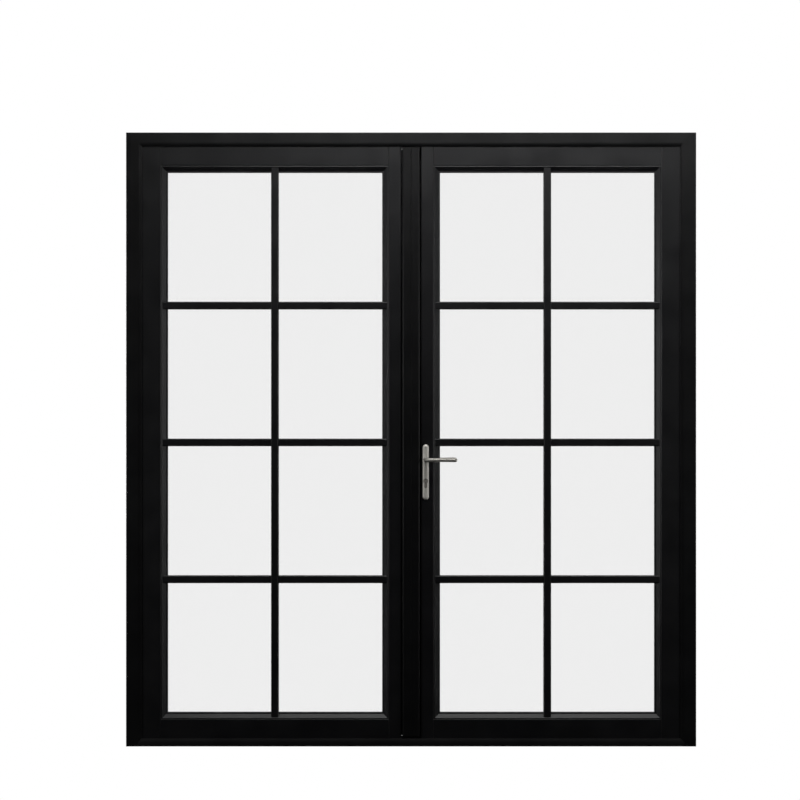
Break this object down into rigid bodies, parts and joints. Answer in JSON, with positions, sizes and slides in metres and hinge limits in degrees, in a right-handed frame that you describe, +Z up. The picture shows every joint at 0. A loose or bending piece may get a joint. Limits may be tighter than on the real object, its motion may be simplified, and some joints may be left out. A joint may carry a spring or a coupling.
{
  "type": "french doors",
  "caption": "Pair of black aluminium french doors in their frame, with double-glazed small-pane leaves, a centre post and a lever handle lock.",
  "frame": {"origin": "middle of the threshold's underside, halfway through the frame's depth", "axes": "+X to the right seen from the front, +Y from the front to the back, where the leaves swing, +Z up"},
  "size_m": [1.95, 0.176, 2.1],
  "materials": {
    "black_frame": "satin black powder coat",
    "black_leaf": "satin black powder coat",
    "glass": "clear float glass",
    "spacer": "matt black warm-edge spacer",
    "seal": "matt black rubber",
    "block": "moulded",
    "bush": "moulded nylon",
    "mill_aluminium": "mill finish",
    "zinc_steel": "bright zinc plate",
    "satin_nickel": "satin nickel"
  },
  "bodies": {
    "frame": {"head_profile": "black_frame", "left_jamb": "black_frame", "right_jamb": "black_frame", "threshold": "black_frame", "frame_corner_cleats": "mill_aluminium", "frame_seals": "seal", "frame_hinge_halves": "black_frame", "hinge_pins": "zinc_steel", "bolt_keeps": "zinc_steel", "frame_screws": "zinc_steel"},
    "left_leaf": {"left_hinge_stile": "black_leaf", "left_meeting_stile": "black_leaf", "left_top_rail": "black_leaf", "left_bottom_rail": "black_leaf", "left_corner_cleats": "mill_aluminium", "left_glass_panes": "glass", "left_spacer_grid": "spacer", "left_glazing_beads": "black_leaf", "left_glazing_gaskets": "seal", "left_setting_blocks": "block", "left_front_bars": "black_leaf", "left_back_bars": "black_leaf", "left_leaf_hinges": "black_leaf", "left_hinge_bushes": "bush", "left_screws": "zinc_steel", "centre_post": "black_frame", "post_end_caps": "black_frame", "lock_keep": "satin_nickel"},
    "right_leaf": {"right_hinge_stile": "black_leaf", "right_meeting_stile": "black_leaf", "right_top_rail": "black_leaf", "right_bottom_rail": "black_leaf", "right_corner_cleats": "mill_aluminium", "right_glass_panes": "glass", "right_spacer_grid": "spacer", "right_glazing_beads": "black_leaf", "right_glazing_gaskets": "seal", "right_setting_blocks": "block", "right_front_bars": "black_leaf", "right_back_bars": "black_leaf", "right_leaf_hinges": "black_leaf", "right_hinge_bushes": "bush", "right_screws": "zinc_steel", "meeting_pile_seal": "seal", "lock_case": "zinc_steel", "lock_faceplate": "satin_nickel", "front_backplate": "satin_nickel", "back_backplate": "satin_nickel", "cylinder_body": "satin_nickel"},
    "lever_set": {"lock_follower": "zinc_steel", "spindle": "zinc_steel", "front_lever": "satin_nickel", "back_lever": "satin_nickel"},
    "key_plug": {"cylinder_plug": "satin_nickel"},
    "deadbolt_body": {"deadbolt": "satin_nickel"},
    "latch_body": {"latch_bolt": "satin_nickel"},
    "upper_shootbolt_body": {"upper_shootbolt": "zinc_steel"},
    "lower_shootbolt_body": {"lower_shootbolt": "zinc_steel"},
    "upper_flush_bolt_body": {"upper_flush_bolt": "zinc_steel"},
    "lower_flush_bolt_body": {"lower_flush_bolt": "zinc_steel"}
  },
  "joints": [
    {"name": "left_leaf_swing", "type": "hinge", "parent": "frame", "child": "left_leaf", "pos_m": [-0.933, 0.0436, 1.05], "axis": [0, 0, 1], "range_deg": [0, 100]},
    {"name": "right_leaf_swing", "type": "hinge", "parent": "frame", "child": "right_leaf", "pos_m": [0.933, 0.0436, 1.05], "axis": [0, 0, -1], "range_deg": [0, 100]},
    {"name": "lever_turn", "type": "hinge", "parent": "right_leaf", "child": "lever_set", "pos_m": [0.05, 0.0055, 0.98], "axis": [0, -1, 0], "range_deg": [0, 45]},
    {"name": "cylinder_turn", "type": "hinge", "parent": "right_leaf", "child": "key_plug", "pos_m": [0.05, 0.0055, 0.908], "axis": [0, -1, 0], "range_deg": [0, 360]},
    {"name": "deadbolt_slide", "type": "slide", "parent": "right_leaf", "child": "deadbolt_body", "axis": [-1, 0, 0], "range_m": [0, 0.02]},
    {"name": "latch_slide", "type": "slide", "parent": "right_leaf", "child": "latch_body", "axis": [-1, 0, 0], "range_m": [0, 0.012]},
    {"name": "upper_shootbolt_slide", "type": "slide", "parent": "right_leaf", "child": "upper_shootbolt_body", "axis": [0, 0, 1], "range_m": [0, 0.014]},
    {"name": "lower_shootbolt_slide", "type": "slide", "parent": "right_leaf", "child": "lower_shootbolt_body", "axis": [0, 0, -1], "range_m": [0, 0.014]},
    {"name": "upper_flush_bolt_slide", "type": "slide", "parent": "left_leaf", "child": "upper_flush_bolt_body", "axis": [0, 0, 1], "range_m": [0, 0.014]},
    {"name": "lower_flush_bolt_slide", "type": "slide", "parent": "left_leaf", "child": "lower_flush_bolt_body", "axis": [0, 0, -1], "range_m": [0, 0.014]}
  ],
  "couplings": [
    {"joint": "cylinder_turn", "follows": "deadbolt_slide", "rad_per_m": 314.16},
    {"joint": "upper_shootbolt_slide", "follows": "lever_turn", "m_per_rad": 0.017825},
    {"joint": "lower_shootbolt_slide", "follows": "lever_turn", "m_per_rad": 0.017825}
  ]
}
